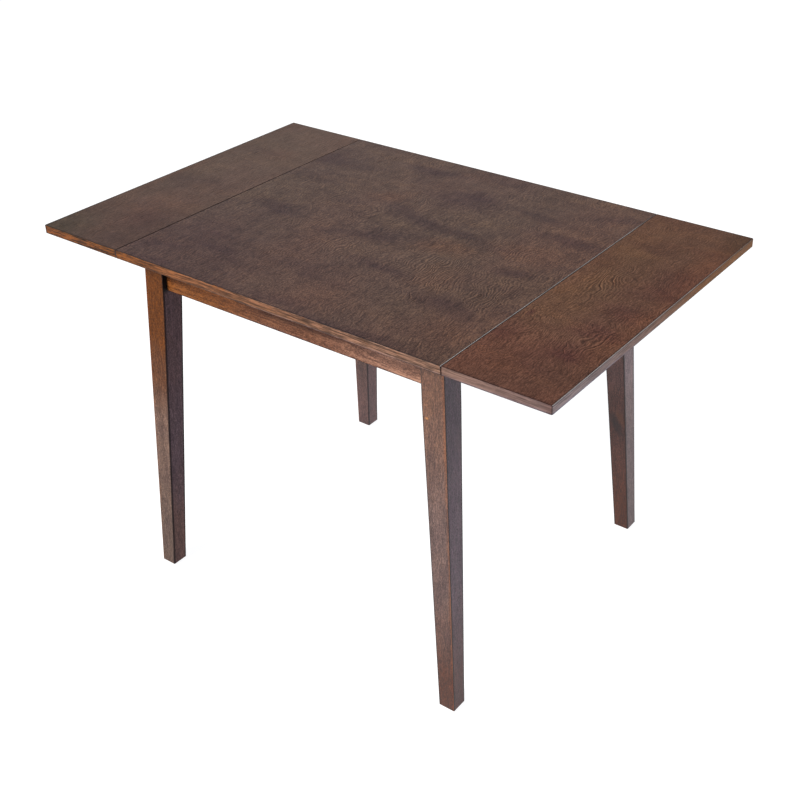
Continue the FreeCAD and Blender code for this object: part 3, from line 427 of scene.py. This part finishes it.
# --------------------------------------------------------- legs, aprons, blocks
def solid_wood(name, axis, seed, tones, tints=None, arris=None, contrast=1.0, mottle=0.5, wave=1.0, rough=0.42, spec=0.42,
               spots=(), bump=0.35, stripe=1.0, edge_highlight=0.0, rubbed=1.0):
    """Stained solid wood with its grain along axis. tones: dark, middle, light. arris(t) gives the distance to the
    nearest long edge. tints(t) gives (factor, colour) pairs that multiply the stain, with painted light and shade among
    them. edge_highlight: painted highlight, a lighter, warmer strip along the outer edges.
    rubbed: 1 where the outer edge is worn pale, 0 where dark stain still lies along it."""
    t = Tree(name)
    p = t.mapping(t.coord, loc=seed)
    v = t.warp(p, stretch(t, p, axis, 1.0, 0.35), 11.0, 0.018 * wave)
    v = t.warp(v, stretch(t, p, axis, 1.0, 0.5), 60.0, 0.0022 * wave)
    bands = t.noise(stretch(t, v, axis, 75.0, 2.2), 1.0, 3.0, 0.6)
    grain = t.noise(stretch(t, v, axis, 330.0, 22.0), 1.0, 3.0, 0.62)
    fine = t.noise(stretch(t, v, axis, 900.0, 50.0), 1.0, 2.0, 0.6)
    speck = t.noise(stretch(t, v, axis, 640.0, 260.0), 1.0, 1.0, 0.6)
    dash = t.noise(stretch(t, v, axis, 1150.0, 60.0), 1.0, 0.0, 0.5)
    pore = t.span(dash, 0.63, 0.76)
    tone = t.add(t.centred(bands, 0.8 * contrast * stripe), t.centred(grain, 0.7 * contrast), t.centred(fine, 1.3 * contrast),
                 t.centred(speck, 1.35 * contrast), 0.5, clamp=True)
    col = t.ramp(tone, [(0.10, tones[0]), (0.50, tones[1]), (0.90, tones[2])])
    mot = t.noise(stretch(t, t.warp(p, p, 20.0, 0.02), axis, 34.0, 14.0), 1.0, 4.0, 0.65)
    col = t.mix(t.mul(t.span(mot, 0.46, 0.66), mottle), col, (0.68, 0.64, 0.72), "MULTIPLY")
    col = t.mix(t.mul(t.span(mot, 0.50, 0.32), mottle * 0.8), col, (1.20, 1.08, 0.95), "MULTIPLY")
    fleck = t.span(t.noise(stretch(t, v, axis, 420.0, 90.0), 1.0, 0.0, 0.5), 0.70, 0.80)
    col = t.mix(t.mul(fleck, 0.30), col, (1.5, 1.35, 1.2), "MULTIPLY")
    col = t.mix(t.mul(pore, 0.4), col, (0.42, 0.38, 0.38), "MULTIPLY")
    for fac, tint in (tints(t, p) if tints else ()):
        col = t.mix(fac, col, tint, "MULTIPLY")
    for s, tint in spots:
        col = t.mix(s(t), col, tint)
    if arris:
        d, outer = arris(t)
        xface = t.span(t.math("ABSOLUTE", t.nx), 0.72, 0.9)
        rub = t.noise(stretch(t, p, axis, 60.0, 7.0), 1.0, 3.0, 0.6)
        yface = t.math("SUBTRACT", 1.0, xface)
        # painted highlight: a lighter, warmer strip on the faces along Y beside the outer long edge
        near = t.mul(t.mul(t.span(t.math("ADD", d, t.centred(mot, 0.008)), 0.0072, 0.0014), yface), outer)
        col = t.mix(t.mul(near, edge_highlight), col, (1.40, 1.04, 0.72), "MULTIPLY")
        line = t.mul(t.span(d, 0.0024, 0.0044, 1.0, 0.0), xface)
        col = t.mix(t.mul(line, 0.94), col, (0.09, 0.07, 0.09), "MULTIPLY")
        dark = t.mul(t.mul(t.span(d, 0.0013, 0.0031, 1.0, 0.0), yface), t.math("SUBTRACT", 1.0, t.mul(outer, rubbed)))
        col = t.mix(t.mul(dark, 0.88), col, (0.16, 0.15, 0.19), "MULTIPLY")
        worn = t.mul(t.mul(t.mul(t.span(d, 0.0005, 0.0016, 1.0, 0.0), t.span(rub, 0.34, 0.58)), yface), outer)
        col = t.mix(t.mul(worn, 0.7 * rubbed), col, t.mix(1.0, tones[2], (1.55, 1.10, 0.75), "MULTIPLY"))
    t.put(t.bsdf.inputs["Base Color"], col)
    rv = t.add(t.centred(grain, 0.18), t.centred(mot, 0.14), t.mul(pore, 0.14))
    satin(t, rv, rough, spec)
    h = t.math("SUBTRACT", t.add(t.mul(grain, 0.7), t.mul(fine, 0.4), t.mul(speck, 0.5)), t.mul(pore, 0.8))
    t.bump(h, bump, 0.0006)
    return t.mat


def leg_arris(t):
    """Distance to the nearest long edge of a leg, from its leaning and tapering sides, and 1 at its outer side."""
    below = t.math("SUBTRACT", 0.633, t.z)
    low = t.math("MAXIMUM", below, 0.0)
    w = t.math("SUBTRACT", 0.048, t.mul(low, 0.014 / 0.633))
    dxo = t.math("SUBTRACT", t.add(t.mul(below, 32.7 / 633.0), 0.3556), t.math("ABSOLUTE", t.x))
    dyo = t.math("SUBTRACT", t.add(t.mul(below, 27.8 / 633.0), 0.3236), t.math("ABSOLUTE", t.y))
    mx = t.math("MINIMUM", dxo, t.math("SUBTRACT", w, dxo))
    my = t.math("MINIMUM", dyo, t.math("SUBTRACT", w, dyo))
    return t.math("MAXIMUM", mx, my), t.span(dxo, 0.026, 0.022)


LEG_TONES = (lin(55, 40, 35), lin(80, 59, 51), lin(107, 81, 70))


def leg_tint_and_shade(front, side, upper=(0.42, 0.66)):
    """Stain at the high, middle and low part of a leg (sRGB) for the faces that look along Y, then along X, with
    painted light and shade: the faces are lit and shaded copies of one stain, those along X greyer with painted sheen.
    """
    def rel(c):
        return tuple(p / q for p, q in zip(lin(*c), LEG_TONES[1]))

    def f(t, p):
        z = t.math("ADD", t.z, t.centred(t.noise(p, 9.0, 2.0, 0.5), 0.20))
        high, low = t.span(z, *upper), t.span(z, 0.30, 0.06)
        tint = t.mix(high, t.mix(low, rel(front[1]), rel(front[2])), rel(front[0]))
        other = t.mix(high, t.mix(low, rel(side[1]), rel(side[2])), rel(side[0]))
        plain = t.mix(high, t.mix(low, rel((80, 59, 50)), rel((79, 56, 47))), rel((80, 53, 38)))
        tint = t.mix(t.span(t.nx, -0.5, -0.85), tint, plain)
        return [(1.0, t.mix(t.span(t.nx, 0.5, 0.85), tint, other))]
    return f


def near_spot(t):
    """A small pale bruise on the outer face of the block."""
    v = t.mapping(t.coord, loc=(0.3187, -0.324, 0.6113), scale=(0.0042, 0.02, 0.0026), kind="TEXTURE")
    v = t.warp(v, t.coord, 500.0, 0.9)
    return t.mul(t.span(t.vmath("LENGTH", v), 0.3, 1.2, 1.0, 0.0), 0.75)


def figure(t):
    """A dark slanting figure in the grain below the middle."""
    v = t.mapping(t.coord, loc=(0.351, 0.298, 0.277), rot=(0, math.radians(-26), 0), scale=(0.012, 0.05, 0.036), kind="TEXTURE")
    v = t.warp(v, t.coord, 45.0, 0.9, 2.0)
    return t.mul(t.span(t.vmath("LENGTH", v), 0.2, 1.3, 1.0, 0.0), 0.70)


def figure_warm(t):
    """The warmer wood just under it."""
    v = t.mapping(t.coord, loc=(0.361, 0.297, 0.298), rot=(0, math.radians(-26), 0), scale=(0.009, 0.05, 0.024), kind="TEXTURE")
    v = t.warp(v, t.coord, 45.0, 0.9, 2.0)
    return t.mul(t.span(t.vmath("LENGTH", v), 0.2, 1.3, 1.0, 0.0), 0.45)


def recess_shade(t):
    """Painted shade in the corner between the block and the apron: near-black on the faces along +X above the apron's
    lower edge.
    """
    return t.mul(t.span(t.nx, 0.6, 0.9), t.span(t.z, 0.655, 0.668))


# the near-black spot on the front left leg is painted shade in the corner by the apron
assign("leg_front_left", solid_wood("wood_leg_front_left", "Z", (0.0, 0.3, 0.9), LEG_TONES, arris=leg_arris, mottle=0.45, edge_highlight=0.4, stripe=0.7, spec=0.06,
                                    tints=leg_tint_and_shade(((74, 39, 12), (88, 69, 61), (81, 65, 58)), ((70, 52, 56), (72, 56, 62), (77, 55, 52)), (0.32, 0.58)),
                                    spots=[(recess_shade, lin(16, 12, 13))]))
assign("leg_front_right", solid_wood("wood_leg_front_right", "Z", (0.5, 1.3, 0.2), LEG_TONES, arris=leg_arris, mottle=0.6, edge_highlight=0.8, stripe=0.5, spec=0.30,
                                     tints=leg_tint_and_shade(((87, 59, 45), (84, 64, 59), (65, 35, 24)), ((62, 46, 58), (80, 61, 71), (72, 41, 39))),
                                     spots=[(near_spot, lin(168, 112, 62))]))
assign("leg_back_left", solid_wood("wood_leg_back_left", "Z", (1.5, 0.8, 1.1), LEG_TONES, arris=leg_arris, mottle=0.5, edge_highlight=0.4, stripe=0.6, spec=0.25,
                                   tints=leg_tint_and_shade(((72, 52, 46), (74, 52, 46), (74, 52, 50)), ((85, 60, 60), (85, 60, 60), (85, 60, 60)))))
assign("leg_back_right", solid_wood("wood_leg_back_right", "Z", (2.5, 0.2, 1.7), LEG_TONES, arris=leg_arris, mottle=0.55, edge_highlight=0.1, stripe=0.6, spec=0.30, rubbed=0.1,
                                    tints=leg_tint_and_shade(((84, 56, 52), (72, 42, 36), (63, 30, 17)), ((105, 85, 87), (101, 81, 81), (89, 69, 69)), (0.30, 0.42)),
                                    spots=[(figure, lin(33, 22, 24)), (figure_warm, lin(96, 56, 34))]))

APRON_TONES = (lin(54, 33, 24), lin(79, 49, 35), lin(109, 72, 52))


def apron_tint_and_shade(t, p):
    flat = t.warp(t.mapping(t.coord, scale=(1, 0, 1)), stretch(t, p, "X", 1.0, 0.3), 20.0, 0.006)
    # darker bands near the top, strongest just under the top, paint the shadow of the top's overhang; otherwise warmer
    # to the left, paler and greyer to the right, lighter streaks at several heights and a dark line along the lower
    # edge
    return [(t.span(t.x, -0.02, -0.22), (1.05, 0.84, 0.385)), (t.span(t.x, 0.03, 0.27), (1.90, 2.41, 3.08)),
            (t.mul(t.span(t.z, 0.674, 0.692), 0.5), (0.80, 0.78, 0.78)), (t.mul(t.span(t.z, 0.688, 0.694), t.mul(t.span(t.x, -0.16, -0.02), t.span(t.x, 0.25, 0.12))), (0.66, 0.60, 0.64)),
            (t.mul(t.span(t.z, 0.680, 0.691), t.span(t.x, -0.05, -0.16)), (1.22, 1.18, 1.10)),
            (t.mul(t.span(t.z, 0.686, 0.693), t.span(t.x, 0.13, 0.24)), (1.18, 1.22, 1.26)),
            (t.mul(t.blob(flat, 0.02, 0.0, 0.085, 1.0, 0.0, 0.6905, 0.0042), 0.9), (0.62, 0.66, 0.74)),
            (t.blob(flat, -0.09, 0.0, 0.080, 1.0, 0.0, 0.675, 0.009), (1.20, 1.20, 1.12)),
            (t.mul(t.span(t.z, 0.672, 0.6675), t.span(t.x, 0.10, -0.02)), (1.16, 1.24, 1.40)),
            (t.blob(flat, 0.06, 0.0, 0.070, 1.0, 0.0, 0.668, 0.005), (1.25, 1.25, 1.25)),
            (t.span(t.z, 0.6665, 0.6650), (0.35, 0.30, 0.32))]


for node, seed, axis in (("apron_front", (0.2, 2.3, 0.4), "X"), ("apron_back", (1.2, 2.9, 0.1), "X"),
                         ("apron_left", (0.7, 3.3, 0.8), "Y"), ("apron_right", (1.9, 3.1, 0.6), "Y")):
    assign(node, solid_wood("wood_" + node, axis, seed, APRON_TONES, contrast=1.1, mottle=0.35, wave=0.6, stripe=2.4, spec=0.07,
                            tints=apron_tint_and_shade if axis == "X" else None))

RAW_TONES = (lin(120, 90, 60), lin(160, 128, 92), lin(190, 160, 122))
assign("cross_rail", solid_wood("wood_cross_rail", "Y", (3.0, 0.5, 0.5), RAW_TONES, contrast=0.8, mottle=0.2, rough=0.62, spec=0.25))
blocks = solid_wood("wood_blocks", "X", (3.5, 1.5, 0.5), RAW_TONES, contrast=0.8, mottle=0.2, rough=0.62, spec=0.25)


# ------------------------------------------------------------ metal and plastic
def metal(name, colour, rough=0.35, scratch=0.5, tint=None):
    t = Tree(name)
    n1 = t.noise(t.coord, 60.0, 3.0, 0.6)
    n2 = t.noise(t.mapping(t.coord, scale=(900, 120, 900)), 1.0, 2.0, 0.6)
    spots = t.span(t.noise(t.coord, 420.0, 2.0, 0.5), 0.62, 0.75)
    col = t.mix(t.span(n1, 0.35, 0.7), colour, tint or tuple(c * 0.72 for c in colour))
    col = t.mix(t.mul(spots, 0.35), col, tuple(c * 0.5 for c in colour))
    t.put(t.bsdf.inputs["Base Color"], col)
    t.bsdf.inputs["Metallic"].default_value = 1.0
    t.put(t.bsdf.inputs["Roughness"], t.add(t.centred(n1, 0.25), t.centred(n2, 0.25 * scratch), rough, clamp=True))
    t.bump(t.add(n2, t.mul(spots, -0.5)), 0.08 * scratch, 0.0003)
    return t.mat


def plastic(name, colour, rough=0.5):
    t = Tree(name)
    n = t.noise(t.coord, 240.0, 3.0, 0.6)
    t.put(t.bsdf.inputs["Base Color"], t.mix(t.span(n, 0.3, 0.7), colour, tuple(c * 0.7 for c in colour)))
    t.put(t.bsdf.inputs["Roughness"], t.span(n, 0.2, 0.8, rough - 0.08, rough + 0.1))
    t.bump(n, 0.1, 0.0002)
    return t.mat


zinc = metal("zinc_plate", (0.40, 0.41, 0.43), 0.40)
yellow = metal("zinc_yellow", (0.50, 0.41, 0.24), 0.36, tint=(0.40, 0.36, 0.28))
dark_steel = metal("steel_turned", (0.34, 0.34, 0.35), 0.30, scratch=0.8)
glide = plastic("nylon_glide", (0.035, 0.03, 0.028))
for node in N:
    if node.startswith("corner_block_") and "screws" not in node:
        assign(node, blocks)
    elif node.startswith(("hinge_frame_plate", "hinge_leaf_plate", "stay_arm", "stay_leaf_bracket")) or node == "fixing_brackets" \
            or node.startswith("stay_bracket") and "screws" not in node:
        assign(node, zinc)
    elif node in ("hinge_pins", "stay_slide_studs") or node.startswith("stay_pivot"):
        assign(node, dark_steel)
    elif "screws" in node or node.startswith(("leg_hanger", "leg_bolt")):
        assign(node, yellow)
    elif node == "foot_glides":
        assign(node, glide)


# ----------------------------------------------------------- floor and light
def floor_material():
    t = Tree("floor_pale")
    n = t.noise(t.coord, 3.0, 2.0, 0.5)
    t.put(t.bsdf.inputs["Base Color"], t.mix(n, (0.25, 0.25, 0.25), (0.28, 0.28, 0.28)))
    t.bsdf.inputs["Roughness"].default_value = 0.9
    t.bsdf.inputs["Specular IOR Level"].default_value = 0.0
    t.bsdf.inputs["Emission Color"].default_value = (0.985, 0.99, 1.0, 1)
    t.bsdf.inputs["Emission Strength"].default_value = 0.92
    return t.mat


me = bpy.data.meshes.new("floor")
S = 16.0
me.from_pydata([(-S, -S, 0), (S, -S, 0), (S, S, 0), (-S, S, 0)], [], [(0, 1, 2, 3)])
floor = bpy.data.objects.new("floor", me)
floor.location.z = -0.0005
floor.data.materials.append(floor_material())
scene.collection.objects.link(floor)

# studio: pale round the horizon, darker overhead
world = bpy.data.worlds.new("studio")
world.use_nodes = True
wt = world.node_tree
bg = wt.nodes["Background"]
tc = wt.nodes.new("ShaderNodeTexCoord")
sep = wt.nodes.new("ShaderNodeSeparateXYZ")
ramp = wt.nodes.new("ShaderNodeValToRGB")
wt.links.new(tc.outputs["Generated"], sep.inputs[0])
wt.links.new(sep.outputs[2], ramp.inputs[0])
wt.links.new(ramp.outputs[0], bg.inputs[0])
el = ramp.color_ramp.elements
el.new(0.5)
for e, (pos, c) in zip(el, [(0.0, (0.93, 0.94, 0.955)), (0.22, (0.62, 0.63, 0.65)), (0.45, (0.30, 0.30, 0.315))]):
    e.position, e.color = pos, (*c, 1)
bg.inputs[1].default_value = 1.0
scene.world = world


def softbox(name, pos, target, size, watts, colour=(1, 1, 1)):
    d = bpy.data.lights.new(name, "AREA")
    d.shape, d.size, d.size_y = "RECTANGLE", size[0], size[1]
    d.energy, d.color = watts, colour
    o = bpy.data.objects.new(name, d)
    o.location = pos
    o.rotation_euler = (Vector(target) - Vector(pos)).to_track_quat("-Z", "Y").to_euler()
    scene.collection.objects.link(o)
    return o


softbox("key_front_left", (-1.1, -3.3, 3.1), (0, -0.3, 0.55), (1.1, 0.9), 270, (1.0, 0.975, 0.94))
softbox("back_right", (2.1, 3.6, 2.6), (0.3, 0, 0.6), (1.6, 1.0), 60, (0.86, 0.91, 1.0))

scene.view_settings.view_transform = "Standard"
scene.view_settings.look = "None"
scene.view_settings.exposure = 0.0
scene.view_settings.gamma = 1.0
